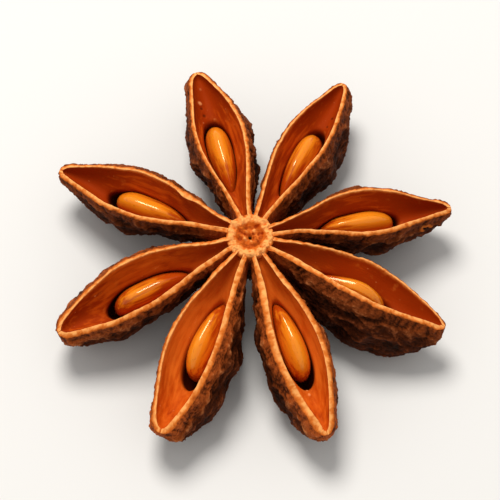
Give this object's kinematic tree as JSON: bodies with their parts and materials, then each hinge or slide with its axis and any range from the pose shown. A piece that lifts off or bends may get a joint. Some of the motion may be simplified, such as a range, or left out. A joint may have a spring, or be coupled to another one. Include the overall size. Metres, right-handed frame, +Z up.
{
  "type": "dried star anise pod",
  "caption": "Dried star anise pod: boat-shaped woody carpels round a short column, each split open over one glossy seed.",
  "frame": {"origin": "on the axis of the pod's column, at the level of the table that the pod rests on", "axes": "+Z up along the column, out of the open sides of the carpels; +X to the right and -Y towards the viewer"},
  "size_m": [0.0324, 0.0322, 0.0086],
  "materials": {
    "husk": "dry woody husk: pale tan ridged rims and column, satin burnt orange inside, wrinkled dark brown outside",
    "seed": "hard glossy amber brown seed coat"
  },
  "bodies": {
    "root": {"pod": "husk", "seed_1": "seed", "seed_2": "seed", "seed_3": "seed", "seed_4": "seed", "seed_5": "seed", "seed_6": "seed", "seed_7": "seed", "seed_8": "seed"}
  },
  "joints": []
}
